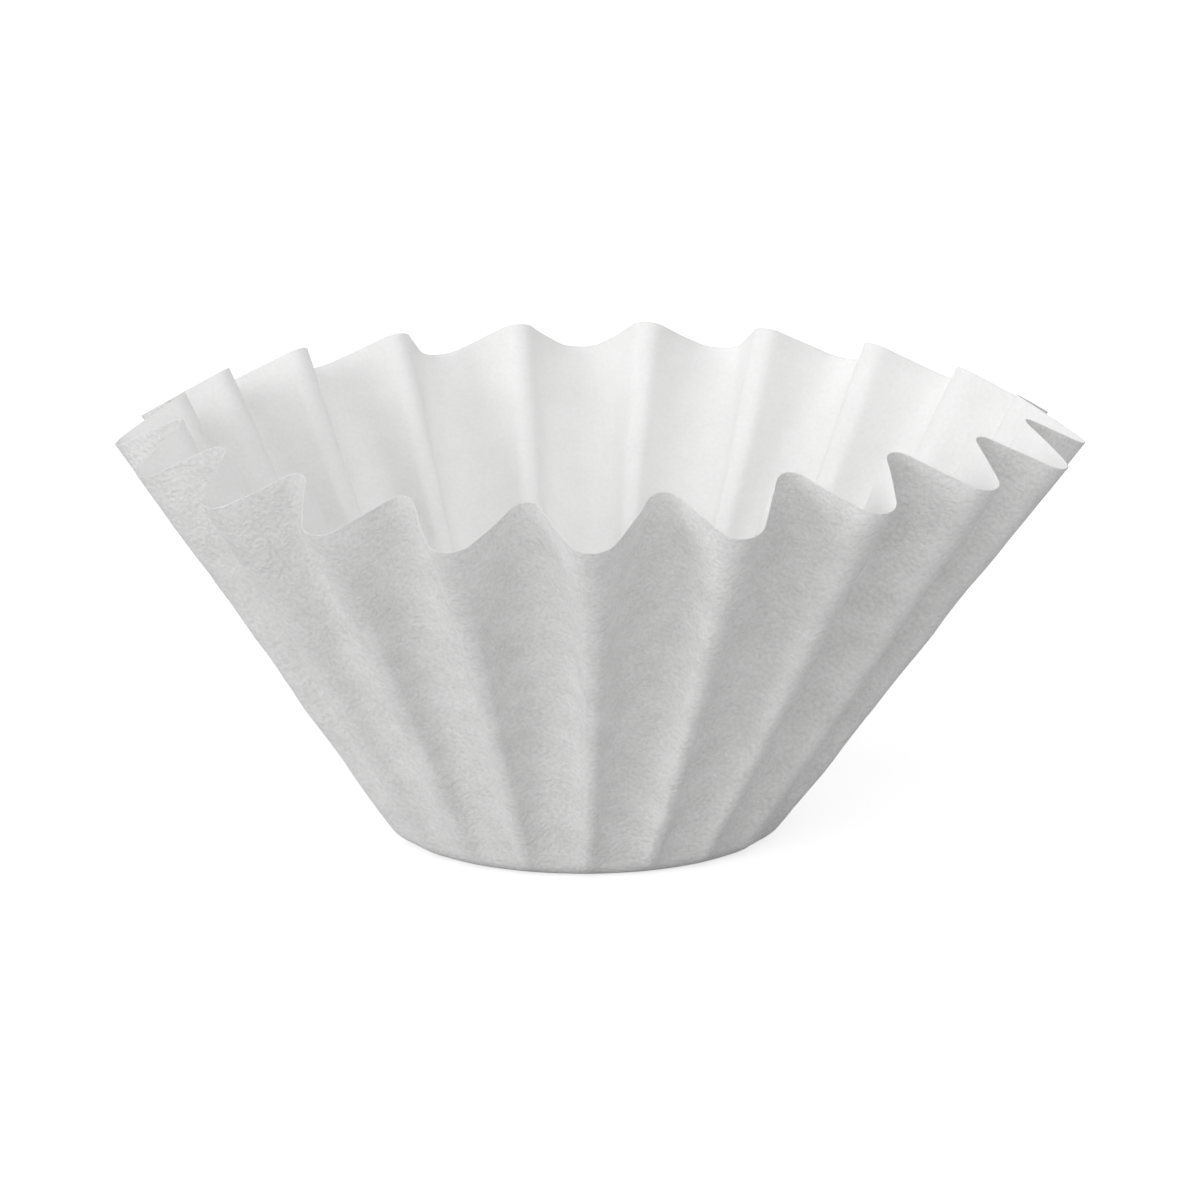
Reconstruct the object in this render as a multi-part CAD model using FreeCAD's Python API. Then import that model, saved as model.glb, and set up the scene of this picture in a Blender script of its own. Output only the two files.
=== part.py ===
"""Flat-bottomed coffee filter of thin white paper with a fluted wall.

One round sheet of paper is pressed between two fluted moulds. Its middle stays flat as the base, a small round
corner turns it up, and the wall is gathered into even flutes that start at the corner and open out to the rim.
Z is up, and the origin is the centre of the underside of the base.
"""
import FreeCAD, Part
import math
import os

# Driving dimensions, in millimetres and degrees.
disc_diameter = 185.0  # the flat round sheet before pressing
base_diameter = 47.0  # the flat middle, as far as the corner
corner_radius = 4.0  # bend between base and wall, at the middle of the paper
paper_thickness = 0.2
flute_count = 20
wall_slope = 58.0  # the wall's middle line against the base
crest_radius = 3.4  # outward fold at the rim, at the middle of the paper
valley_radius = 2.6  # inward fold at the rim, at the middle of the paper
band_tops = (0.1, 0.25, 0.5, 0.75, 1.0)  # the wall's bands of faces, as shares of its length
halvings = 50  # steps of the search for the flute's depth

# Sizes that follow from them.
disc_radius = disc_diameter / 2
base_radius = base_diameter / 2
half_thickness = paper_thickness / 2
slope = math.radians(wall_slope)
wall_length = disc_radius - base_radius - corner_radius * slope
foot_radius = base_radius + corner_radius * math.sin(slope)
foot_height = half_thickness + corner_radius * (1 - math.cos(slope))
rim_radius = foot_radius + wall_length * math.cos(slope)
half_flute = math.pi / flute_count
half_pitch = rim_radius * half_flute
half_paper = disc_radius * half_flute
fold_radii = crest_radius + valley_radius
origin = FreeCAD.Vector(0, 0, 0)
upward = FreeCAD.Vector(0, 0, 1)
sideways = FreeCAD.Vector(1, 0, 0)


def flank(depth):
    """Turn and length of the straight flank that joins a crest to a valley this far below it, tangent to both."""
    rise = depth - fold_radii
    length = math.sqrt(half_pitch**2 + rise**2 - fold_radii**2)
    turn = math.atan2(rise, half_pitch) + math.atan2(fold_radii, length)
    return turn, length


def gathered_depth():
    """Depth of a flute at the rim. The paper doesn't stretch, so half a flute takes up half a flute of flat paper."""
    low = fold_radii + math.sqrt(max(0.0, fold_radii**2 - half_pitch**2))
    high = low + half_paper
    for _ in range(halvings):
        depth = (low + high) / 2
        turn, length = flank(depth)
        if fold_radii * turn + length < half_paper:
            low = depth
        else:
            high = depth
    return (low + high) / 2


def half_flute_pieces():
    """Crest, flank and valley of half a flute at the rim, each by its start, middle and end.

    A place is its distance round from the crest, its distance out from the wall's middle line and its turn.
    """
    depth = gathered_depth()
    turn, length = flank(depth)
    crest = [
        (crest_radius * math.sin(t), depth / 2 - crest_radius * (1 - math.cos(t)), t)
        for t in (0, turn / 2, turn)
    ]
    valley = [
        (half_pitch - valley_radius * math.sin(t), valley_radius * (1 - math.cos(t)) - depth / 2, t)
        for t in (turn, turn / 2, 0)
    ]
    middle = ((crest[2][0] + valley[0][0]) / 2, (crest[2][1] + valley[0][1]) / 2, turn)
    return [crest, [crest[2], middle, valley[0]], valley]


def at(angle, radial, around, height):
    """Point at this angle about Z, where 0 is the front, given along the radial plane, around it and up."""
    sine, cosine = math.sin(angle), math.cos(angle)
    return FreeCAD.Vector(radial * sine + around * cosine, around * sine - radial * cosine, height)


def wall_point(place, share, side):
    """Point on the paper's outer face, side 1, or inner face, side -1, this share of the way up the wall.

    Every fold line is straight and as long as the wall, so a crest, which leans out further, ends lower.
    """
    distance, out, turn = place
    along = share * wall_length
    lean = slope - out / wall_length
    radial = foot_radius + along * math.cos(lean)
    height = foot_height + along * math.sin(lean)
    facing = slope - share * out / wall_length
    twist = math.tan(turn) * share * rim_radius / radial
    offset = side * half_thickness / math.sqrt(1 + twist**2)
    return at(
        distance / rim_radius,
        radial + offset * math.sin(facing),
        offset * twist,
        height - offset * math.cos(facing),
    )


def wall_edge(piece, share, side):
    """A piece's edge across the wall: an arc, or at the foot a chord, too short to differ from the circle there."""
    points = [wall_point(place, share, side) for place in piece]
    if share == 0:
        return Part.LineSegment(points[0], points[2]).toShape()
    return Part.Arc(*points).toShape()


def corner_line(place, side):
    """The corner's section on one side of the paper, from the base to the foot of the wall."""
    bend = corner_radius + side * half_thickness
    bend_height = half_thickness + corner_radius
    points = [
        at(place[0] / rim_radius, base_radius + bend * math.sin(tilt), 0, bend_height - bend * math.cos(tilt))
        for tilt in (0, slope / 2, slope)
    ]
    return Part.Arc(*points).toShape()


def all_round(shapes):
    """The same shapes for both halves of every flute."""
    copies = []
    for shape in shapes:
        for half in (shape, shape.mirror(origin, sideways)):
            for number in range(flute_count):
                copy = half.copy()
                copy.rotate(origin, upward, 360.0 * number / flute_count)
                copies.append(copy)
    return copies


def side_faces(pieces, side):
    """One side of half a flute: the corner, then the wall band by band, ruled from each edge to the next."""
    faces = []
    for piece in pieces:
        faces.append(Part.makeRuledSurface(corner_line(piece[0], side), corner_line(piece[2], side)))
    for low, high in zip((0.0,) + band_tops, band_tops):
        for piece in pieces:
            faces.append(Part.makeRuledSurface(wall_edge(piece, low, side), wall_edge(piece, high, side)))
    return faces


def base_face(pieces, side):
    """Flat base on one side of the paper, out to where the corner begins."""
    ends = [[corner_line(place, side).Vertexes[0].Point for place in (piece[0], piece[2])] for piece in pieces]
    edges = all_round([Part.LineSegment(start, end).toShape() for start, end in ends])
    return Part.Face(Part.Wire(Part.__sortEdges__(edges)))


def filter_paper():
    """The pressed sheet as one closed solid: its two sides, joined by the cut edge at the rim."""
    pieces = half_flute_pieces()
    rim = [Part.makeRuledSurface(wall_edge(piece, 1.0, 1), wall_edge(piece, 1.0, -1)) for piece in pieces]
    wall = all_round(side_faces(pieces, 1) + side_faces(pieces, -1) + rim)
    shell = Part.makeShell(wall + [base_face(pieces, 1), base_face(pieces, -1)])
    shell.sewShape()
    return Part.makeSolid(shell)


os.makedirs("parts", exist_ok=True)
paper = filter_paper()
paper.exportStep("parts/filter_paper.step")
print("solids", len(paper.Solids), "faces", len(paper.Faces), "valid", paper.isValid(), "closed", paper.isClosed())
print("flute depth", gathered_depth(), "volume", paper.Volume, "box", paper.BoundBox)
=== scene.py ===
"""Looks of a flat-bottomed paper coffee filter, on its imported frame. Metres, +Z up, front towards -Y."""

import math

import bpy
import numpy as np
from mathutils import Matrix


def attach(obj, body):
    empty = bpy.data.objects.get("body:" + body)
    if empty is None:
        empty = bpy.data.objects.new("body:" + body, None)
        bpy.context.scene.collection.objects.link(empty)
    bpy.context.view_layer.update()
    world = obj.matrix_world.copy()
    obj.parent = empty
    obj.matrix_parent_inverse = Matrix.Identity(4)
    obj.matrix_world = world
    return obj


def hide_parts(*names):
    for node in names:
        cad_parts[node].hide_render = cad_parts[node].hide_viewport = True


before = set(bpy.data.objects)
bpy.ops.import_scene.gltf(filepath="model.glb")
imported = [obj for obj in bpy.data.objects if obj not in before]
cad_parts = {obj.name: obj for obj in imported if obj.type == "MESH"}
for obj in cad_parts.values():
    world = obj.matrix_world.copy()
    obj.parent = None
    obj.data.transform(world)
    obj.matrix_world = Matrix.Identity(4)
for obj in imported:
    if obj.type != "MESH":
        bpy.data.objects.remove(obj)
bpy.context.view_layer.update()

# Filter paper: one round sheet of white, uncoated paper, thin enough to let some light through. It is pressed
# between two fluted moulds, which leave a flat base, a small round corner and a wall in 20 flutes. It springs
# open a little unevenly, so its rim is not quite round and its flutes are not quite alike.
SHEET_RADIUS = 0.0925
BASE_RADIUS = 0.0235
CORNER_RADIUS = 0.004
PAPER = 0.00017
FLUTES = 20
WALL_SLOPE = math.radians(57.9)
WALL = SHEET_RADIUS - BASE_RADIUS - CORNER_RADIUS * WALL_SLOPE
# Shares of half a flute's paper that its crest fold and its valley fold take. In front the crests are sharp
# and the valleys wide, at the back it is the other way round, and towards the rim both turn into the rim's.
SHARP_FOLD = 0.14
WIDE_FOLD = 0.72
RIM_CREST = 0.235
RIM_VALLEY = 0.18
EASE = 1.5  # power that gathers a pressed fold's bend towards its flank, against 1 for an even bend
SPRUNG = 3  # power of the way up the wall by which the pressed folds turn into the rim's
FLAT_CORNER = 3  # power of the way round the corner that keeps the flutes' own height off the flat base
RIM_LEAN = 0.0019
LEAN_TOWARDS = math.radians(-1.6)
# How the sprung wall strays from even: waves round the sheet, as their number, size and place in degrees. The
# slope and the angle stray by degrees, and the depth by a share of itself.
SLOPE_STRAY = ((1, 0.34, 72.6), (2, 0.61, 32.7), (3, 1.21, 39.9), (4, 0.53, -47.0))
ANGLE_STRAY = ((1, 0.86, -173.5), (2, 0.81, -61.9), (3, 0.84, -41.3), (4, 0.30, -52.1))
DEPTH_STRAY = ((1, 0.036, -89.5), (2, 0.047, 28.5))
# Cockles left by pressing: straight waves on the flat sheet, each by its waves per metre, its direction in
# degrees and its height.
COCKLES = ((61, 17, 0.00007), (94, 131, 0.00005), (143, 74, 0.00003), (205, 158, 0.00002))
COCKLE_FADE = 0.01  # way up the wall over which they grow from nothing
# Steps of the sums along half a flute, steps of the search for its flank's turn, and the least such turn.
BENDS = 24
SEARCHES = 5
LEAST_TURN = 1e-4
# The mesh: its columns to a flute, and its rows on the base, over the corner and up the wall. The base's rows
# keep a gap from the centre and from the corner, the corner's run on a little past it, the wall's start after
# those and stop short of the rim, and one last row lies a hair inside the cut edge and keeps it crisp.
COLUMNS = 44
BASE_ROWS = 5
CORNER_ROWS = 14
WALL_ROWS = 26
WALL_SPREAD = 1.2  # power that sets the wall's rows closer together near its foot
BASE_GAP = 0.001
CORNER_OVERRUN = 0.0008
FOOT_GAP = 0.0012
RIM_GAP = 0.0006
EDGE_GAP = 0.00008


def strays(terms, angle):
    """Sum of a few cosine waves round the sheet."""
    return sum(size * np.cos(count * (angle - math.radians(place))) for count, size, place in terms)


def bend(share, crest, valley, ease):
    """Turn of the paper, as a share of its flank's, from the crest at share 0 to the valley at share 1.

    It rises from 0 over the crest fold, stays at 1 along the flank and falls back to 0 over the valley fold.
    """
    return (np.minimum(share / crest, 1) * np.minimum((1 - share) / valley, 1)) ** ease


def flute_section(share, gathered, crest, valley, ease):
    """Section of half a flute at a share of its paper, where a circle is gathered to a share of its length.

    The distance round is the sum of the cosines of the turns, and the distance down the sum of their sines,
    each over the paper since the crest. The flank's turn is the one that gathers the whole, by Newton's
    method. Returns the part of the width that lies before this share, the distance down to it and the whole
    depth.
    """
    steps = (np.arange(BENDS) + 0.5) / BENDS
    given = (share, gathered, crest, valley, ease)
    share, gathered, crest, valley, ease = (value[..., None] for value in given)
    whole = bend(steps, crest, valley, ease)
    turn = np.sqrt(2 * (1 - gathered) / (whole**2).mean(axis=-1, keepdims=True)) + LEAST_TURN
    for _ in range(SEARCHES):
        value = np.cos(turn * whole).mean(axis=-1, keepdims=True) - gathered
        change = -(whole * np.sin(turn * whole)).mean(axis=-1, keepdims=True)
        turn = np.maximum(turn - value / change, LEAST_TURN)
    part = turn * bend(share * steps, crest, valley, ease)
    around = share[..., 0] * np.cos(part).mean(axis=-1) / np.cos(turn * whole).mean(axis=-1)
    return around, share[..., 0] * np.sin(part).mean(axis=-1), np.sin(turn * whole).mean(axis=-1)


def pressed_sheet(sheet_distance, sheet_angle):
    """Middle of the paper at a distance from the sheet's centre and an angle round the flat sheet.

    The distance runs along the flat base, round the corner's arc and straight up the wall. The paper keeps
    its length round every circle too, so the flutes begin with the corner and grow as deep as the gathering
    asks.
    """
    half = math.pi / FLUTES
    crest_angle = np.round(sheet_angle / (2 * half)) * 2 * half
    share = (sheet_angle - crest_angle) / half
    slope = WALL_SLOPE + np.radians(strays(SLOPE_STRAY, sheet_angle))
    tilt = np.clip((sheet_distance - BASE_RADIUS) / CORNER_RADIUS, 0, slope)
    on_wall = np.maximum(sheet_distance - BASE_RADIUS - CORNER_RADIUS * slope, 0)
    rise = on_wall / WALL
    radial = np.minimum(sheet_distance, BASE_RADIUS) + CORNER_RADIUS * np.sin(tilt) + on_wall * np.cos(slope)
    height = CORNER_RADIUS * (1 - np.cos(tilt)) + on_wall * np.sin(slope)
    front = (1 + np.cos(sheet_angle)) / 2
    sprung = rise**SPRUNG
    crest = (WIDE_FOLD + (SHARP_FOLD - WIDE_FOLD) * front) * (1 - sprung) + RIM_CREST * sprung
    valley = (SHARP_FOLD + (WIDE_FOLD - SHARP_FOLD) * front) * (1 - sprung) + RIM_VALLEY * sprung
    ease = EASE + (1 - EASE) * sprung
    around, down, depth = flute_section(np.abs(share), radial / sheet_distance, crest, valley, ease)
    out = (depth / 2 - down) * half * sheet_distance * (1 + strays(DEPTH_STRAY, sheet_angle))
    angle = crest_angle + np.sign(share) * around * half
    angle = angle + rise * np.radians(strays(ANGLE_STRAY, sheet_angle))
    radial = radial + out * np.sin(tilt)
    height = height - out * np.cos(tilt) * np.minimum(tilt / WALL_SLOPE, 1) ** FLAT_CORNER
    x = radial * np.sin(angle) + rise * RIM_LEAN * math.cos(LEAN_TOWARDS)
    y = -radial * np.cos(angle) + rise * RIM_LEAN * math.sin(LEAN_TOWARDS)
    return np.stack([x, y, height + PAPER / 2], axis=-1)


def cockles(place):
    """Height of the cockles at a place on the flat sheet: the sum of a few straight cosine waves."""
    height = 0
    for per_metre, degrees, size in COCKLES:
        way = (math.cos(math.radians(degrees)), math.sin(math.radians(degrees)))
        height = height + size * np.cos(2 * math.pi * per_metre * (place @ way))
    return height


def facing(grid):
    """Unit normals of a grid that closes round, from the crossed differences along and round it."""
    along = np.gradient(grid, axis=0)
    around = np.roll(grid, -1, axis=1) - np.roll(grid, 1, axis=1)
    normal = np.cross(around, along)
    return normal / np.linalg.norm(normal, axis=-1, keepdims=True)


def closed_sheet(name, grid, thickness, flat):
    """Mesh of a thin closed sheet: outer face, cut edge and inner face as one strip of rows, and two poles.

    Each face is the grid moved out or in by half the thickness. The flat sheet's places become its UV map,
    and the attribute felt_side is 1 on the outer face and 0 on the inner one.
    """
    normal = facing(grid)
    outer = grid + normal * thickness / 2
    inner = grid - normal * thickness / 2
    strip = np.concatenate([outer, inner[::-1]])
    flat_strip = np.concatenate([flat, flat[::-1]])
    count, columns = strip.shape[:2]
    poles = np.array([[0, 0, outer[0, :, 2].mean()], [0, 0, inner[0, :, 2].mean()]])
    vertices = np.concatenate([strip.reshape(-1, 3), poles])
    row, column = np.meshgrid(np.arange(count - 1), np.arange(columns), indexing="ij")
    here = (row * columns + column).ravel()
    beside = (row * columns + (column + 1) % columns).ravel()
    quads = np.stack([here, here + columns, beside + columns, beside], axis=-1)
    ring = np.arange(columns)
    next_ring = (ring + 1) % columns
    first = np.stack([ring, next_ring, np.full(columns, count * columns)], axis=-1)
    start = (count - 1) * columns
    last = np.stack([start + next_ring, start + ring, np.full(columns, count * columns + 1)], axis=-1)
    mesh = bpy.data.meshes.new(name)
    mesh.from_pydata(vertices.tolist(), [], quads.tolist() + first.tolist() + last.tolist())
    uv = np.concatenate([flat_strip.reshape(-1, 2), np.zeros((2, 2))])
    layer = mesh.uv_layers.new(name="flat_sheet")
    face_corners = np.empty(len(mesh.loops), dtype=np.int32)
    mesh.loops.foreach_get("vertex_index", face_corners)
    layer.data.foreach_set("uv", uv[face_corners].astype(np.float32).ravel())
    felt_side = np.zeros(len(vertices), dtype=np.float32)
    felt_side[: outer.shape[0] * columns] = 1
    felt_side[count * columns] = 1
    mesh.attributes.new("felt_side", "FLOAT", "POINT").data.foreach_set("value", felt_side)
    mesh.polygons.foreach_set("use_smooth", np.ones(len(mesh.polygons), dtype=bool))
    mesh.update()
    piece = bpy.data.objects.new(name, mesh)
    bpy.context.scene.collection.objects.link(piece)
    return piece


corner_end = BASE_RADIUS + CORNER_RADIUS * WALL_SLOPE
wall_run = SHEET_RADIUS - RIM_GAP - corner_end - FOOT_GAP
rows = np.concatenate(
    [
        np.linspace(BASE_GAP, BASE_RADIUS - BASE_GAP, BASE_ROWS),
        np.linspace(BASE_RADIUS, corner_end + CORNER_OVERRUN, CORNER_ROWS),
        corner_end + FOOT_GAP + wall_run * np.linspace(0, 1, WALL_ROWS) ** WALL_SPREAD,
        [SHEET_RADIUS - EDGE_GAP, SHEET_RADIUS],
    ]
)
round_sheet = np.arange(FLUTES * COLUMNS) * 2 * math.pi / (FLUTES * COLUMNS)
distance, sheet_angle = np.meshgrid(rows, round_sheet, indexing="ij")
flat_sheet = np.stack([distance * np.sin(sheet_angle), -distance * np.cos(sheet_angle)], axis=-1)
cockled = cockles(flat_sheet) * np.clip((distance - corner_end) / COCKLE_FADE, 0, 1)
middle_of_paper = pressed_sheet(distance, sheet_angle)
middle_of_paper += facing(middle_of_paper) * cockled[..., None]
paper = closed_sheet("pressed_paper", middle_of_paper, PAPER, flat_sheet)

# Its stock: the colour of its fibres, how much it shines, and how much light goes into it and how far.
WHITE = (0.86, 0.86, 0.857)
ROUGHNESS = 0.9
SHINE = 0.2
LET_IN = 0.6
SCATTER = 0.00028
WIRE_SIDE = 0.25  # how strongly the smooth inner side shows its tone and relief, against 1 for the felt side
# Its patterns, each by its waves per metre and its octaves of detail, and the runs of the noises that count.
CLOUDS = (230, 3)
GRAIN = (1700, 2)
FIBRES = (330, 2)
FIBRE_PATCHES = (700, 1)
RIB_BREAKS = (160, 1)
RIB_STRETCH = 9.0
NOISE_RUN = (0.3, 0.7)
PATCH_RUN = (0.5, 0.6)
FIBRE_WIDTH = 0.012
# How much each pattern changes the paper's tone, and its share of the felt's depth.
CLOUD_TONE = 0.05
RIB_TONE = 0.008
GRAIN_TONE = 0.068
FIBRE_TONE = 0.02
FELT_DEPTH = 0.00026
GRAIN_HEIGHT = 0.9
RIB_HEIGHT = 0.25
CLOUD_HEIGHT = 0.5
FIBRE_HEIGHT = 0.2


def filter_stock():
    """Uncoated filter paper, read in the flat sheet's own metres.

    Its tone follows how thickly the fibres lie: clouds some millimetres wide, fine grain, and curled single
    fibres where one noise crosses its middle value. Faint ribs run round the sheet, from a noise that changes
    fast outwards and slowly along the ribs. The same four patterns raise the felt. The felt side, outside,
    shows them in full, and the wire side, inside the cup, in part.
    """
    material = bpy.data.materials.new("filter_stock")
    material.use_nodes = True
    nodes, links = material.node_tree.nodes, material.node_tree.links
    shader = nodes["Principled BSDF"]
    shader.inputs["Roughness"].default_value = ROUGHNESS
    shader.inputs["Specular IOR Level"].default_value = SHINE
    shader.inputs["Subsurface Weight"].default_value = LET_IN
    shader.inputs["Subsurface Radius"].default_value = (1, 1, 1)
    shader.inputs["Subsurface Scale"].default_value = SCATTER
    sheet = nodes.new("ShaderNodeUVMap")
    sheet.uv_map = "flat_sheet"

    def noise(pattern, place=None):
        """Noise of a pattern's size and detail, at a place or else at the flat sheet's own."""
        texture = nodes.new("ShaderNodeTexNoise")
        texture.inputs["Scale"].default_value, texture.inputs["Detail"].default_value = pattern
        links.new(place or sheet.outputs["UV"], texture.inputs["Vector"])
        return texture.outputs["Fac"]

    def ranged(value, low, high, to_low, to_high):
        """A value stretched straight from one run to another, and held at its ends."""
        node = nodes.new("ShaderNodeMapRange")
        for name, setting in zip(("From Min", "From Max", "To Min", "To Max"), (low, high, to_low, to_high)):
            node.inputs[name].default_value = setting
        links.new(value, node.inputs["Value"])
        return node.outputs["Result"]

    def combined(operation, *values):
        """One step of arithmetic on values that are sockets or plain numbers."""
        node = nodes.new("ShaderNodeMath")
        node.operation = operation
        for socket, value in zip(node.inputs, values):
            if isinstance(value, float):
                socket.default_value = value
            else:
                links.new(value, socket)
        return node.outputs["Value"]

    clouds = noise(CLOUDS)
    grain = noise(GRAIN)
    crossing = combined("ABSOLUTE", combined("SUBTRACT", noise(FIBRES), 0.5))
    fibre_lines = ranged(crossing, 0, FIBRE_WIDTH, 1, 0)
    fibres = combined("MULTIPLY", fibre_lines, ranged(noise(FIBRE_PATCHES), *PATCH_RUN, 0, 1))
    out_from_middle = nodes.new("ShaderNodeVectorMath")
    out_from_middle.operation = "LENGTH"
    links.new(sheet.outputs["UV"], out_from_middle.inputs[0])
    across = nodes.new("ShaderNodeSeparateXYZ")
    links.new(sheet.outputs["UV"], across.inputs["Vector"])
    rib_place = nodes.new("ShaderNodeCombineXYZ")
    links.new(combined("MULTIPLY", out_from_middle.outputs["Value"], RIB_STRETCH), rib_place.inputs["X"])
    links.new(across.outputs["X"], rib_place.inputs["Y"])
    links.new(across.outputs["Y"], rib_place.inputs["Z"])
    ribs = noise(RIB_BREAKS, rib_place.outputs["Vector"])
    side = nodes.new("ShaderNodeAttribute")
    side.attribute_name = "felt_side"
    strength = ranged(side.outputs["Fac"], 0, 1, WIRE_SIDE, 1)

    tone = combined("MULTIPLY", fibres, FIBRE_TONE)
    for pattern, change in ((clouds, CLOUD_TONE), (grain, GRAIN_TONE), (ribs, RIB_TONE)):
        tone = combined("ADD", tone, ranged(pattern, *NOISE_RUN, -change, change))
    colour = nodes.new("ShaderNodeVectorMath")
    colour.operation = "SCALE"
    colour.inputs[0].default_value = WHITE
    links.new(combined("ADD", combined("MULTIPLY", tone, strength), 1.0), colour.inputs["Scale"])
    links.new(colour.outputs["Vector"], shader.inputs["Base Color"])

    felt = combined("MULTIPLY", grain, GRAIN_HEIGHT)
    for pattern, height in ((ribs, RIB_HEIGHT), (clouds, CLOUD_HEIGHT), (fibres, FIBRE_HEIGHT)):
        felt = combined("ADD", felt, combined("MULTIPLY", pattern, height))
    bump = nodes.new("ShaderNodeBump")
    bump.inputs["Strength"].default_value = 1.0
    bump.inputs["Distance"].default_value = FELT_DEPTH
    links.new(combined("MULTIPLY", felt, strength), bump.inputs["Height"])
    links.new(bump.outputs["Normal"], shader.inputs["Normal"])
    return material


paper.data.materials.append(filter_stock())
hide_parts("filter_paper")
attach(paper, "root")

# Floor and backdrop: one pale, matt table top under a pale room. The camera sees both as white, and the floor
# still takes the filter's soft shadow.
FLOOR_SIZE = 8.0
FLOOR_TONE = 0.52
FLOOR_LIFT = 0.72


def looked_at(nodes, links, otherwise, seen):
    """A strength that is one value for camera, glossy and transmission rays, and another for other rays."""
    rays = nodes.new("ShaderNodeLightPath")
    total = rays.outputs["Is Camera Ray"]
    for kind in ("Is Glossy Ray", "Is Transmission Ray"):
        larger = nodes.new("ShaderNodeMath")
        larger.operation = "MAXIMUM"
        links.new(total, larger.inputs[0])
        links.new(rays.outputs[kind], larger.inputs[1])
        total = larger.outputs["Value"]
    strength = nodes.new("ShaderNodeMapRange")
    strength.inputs["To Min"].default_value = otherwise
    strength.inputs["To Max"].default_value = seen
    links.new(total, strength.inputs["Value"])
    return strength.outputs["Result"]


floor_mesh = bpy.data.meshes.new("floor")
reach = FLOOR_SIZE / 2
floor_corners = [(-reach, -reach, 0), (reach, -reach, 0), (reach, reach, 0), (-reach, reach, 0)]
floor_mesh.from_pydata(floor_corners, [], [(0, 1, 2, 3)])
floor = bpy.data.objects.new("floor", floor_mesh)
bpy.context.scene.collection.objects.link(floor)
table_top = bpy.data.materials.new("table_top")
table_top.use_nodes = True
nodes, links = table_top.node_tree.nodes, table_top.node_tree.links
shader = nodes["Principled BSDF"]
shader.inputs["Base Color"].default_value = (FLOOR_TONE, FLOOR_TONE, FLOOR_TONE, 1)
shader.inputs["Roughness"].default_value = 1.0
shader.inputs["Specular IOR Level"].default_value = 0.0
shader.inputs["Emission Color"].default_value = (1, 1, 1, 1)
links.new(looked_at(nodes, links, 0.0, FLOOR_LIFT), shader.inputs["Emission Strength"])
floor_mesh.materials.append(table_top)

# Light: wide soft lamps round the table and a dim pale room. Most of the light comes from the left and the
# front, so that the flanks that face right stay darker, and from high in front, into the cup.
# Each lamp is its direction from the front and its height in degrees, its power and its softness in degrees.
LAMPS = (
    ("left_lamp", -90, 40, 0.63, 40),
    ("left_front_lamp", -52, 14, 0.75, 30),
    ("low_front_lamp", -18, 12, 0.63, 40),
    ("front_lamp", 5, 58, 0.9, 50),
    ("right_front_lamp", 60, 36, 0.51, 50),
    ("back_right_lamp", 150, 20, 0.45, 50),
    ("back_left_lamp", -150, 20, 0.6, 50),
)
ROOM = 0.18
SEEN_ROOM = 1.0
world = bpy.data.worlds.new("room")
bpy.context.scene.world = world
world.use_nodes = True
nodes, links = world.node_tree.nodes, world.node_tree.links
background = nodes["Background"]
background.inputs["Color"].default_value = (1, 1, 1, 1)
links.new(looked_at(nodes, links, ROOM, SEEN_ROOM), background.inputs["Strength"])
for name, towards, height, power, softness in LAMPS:
    lamp_data = bpy.data.lights.new(name, "SUN")
    lamp_data.energy = power
    lamp_data.angle = math.radians(softness)
    lamp = bpy.data.objects.new(name, lamp_data)
    lamp.rotation_euler = (math.pi / 2 - math.radians(height), 0, math.radians(towards))
    bpy.context.scene.collection.objects.link(lamp)

# Camera: a long lens a metre away, a little above the rim and a little to the left of the front, looking at
# the middle of the filter. Its lens and its sensor's width are in millimetres.
LENS = 219.1
SENSOR_WIDTH = 36
NEAREST = 0.01
CAMERA_DISTANCE = 1.0
CAMERA_ANGLE = math.radians(-1.6)
CAMERA_HEIGHT = math.radians(13.29)
LOOK_AT = (0.0022, 0.0, 0.0322)
camera_data = bpy.data.cameras.new("camera")
camera_data.lens = LENS
camera_data.sensor_width = SENSOR_WIDTH
camera_data.clip_start = NEAREST
camera = bpy.data.objects.new("camera", camera_data)
level = CAMERA_DISTANCE * math.cos(CAMERA_HEIGHT)
camera.location = (
    LOOK_AT[0] + level * math.sin(CAMERA_ANGLE),
    LOOK_AT[1] - level * math.cos(CAMERA_ANGLE),
    LOOK_AT[2] + CAMERA_DISTANCE * math.sin(CAMERA_HEIGHT),
)
camera.rotation_euler = (math.pi / 2 - CAMERA_HEIGHT, 0, CAMERA_ANGLE)
bpy.context.scene.collection.objects.link(camera)
bpy.context.scene.camera = camera
bpy.context.scene.view_settings.view_transform = "Standard"
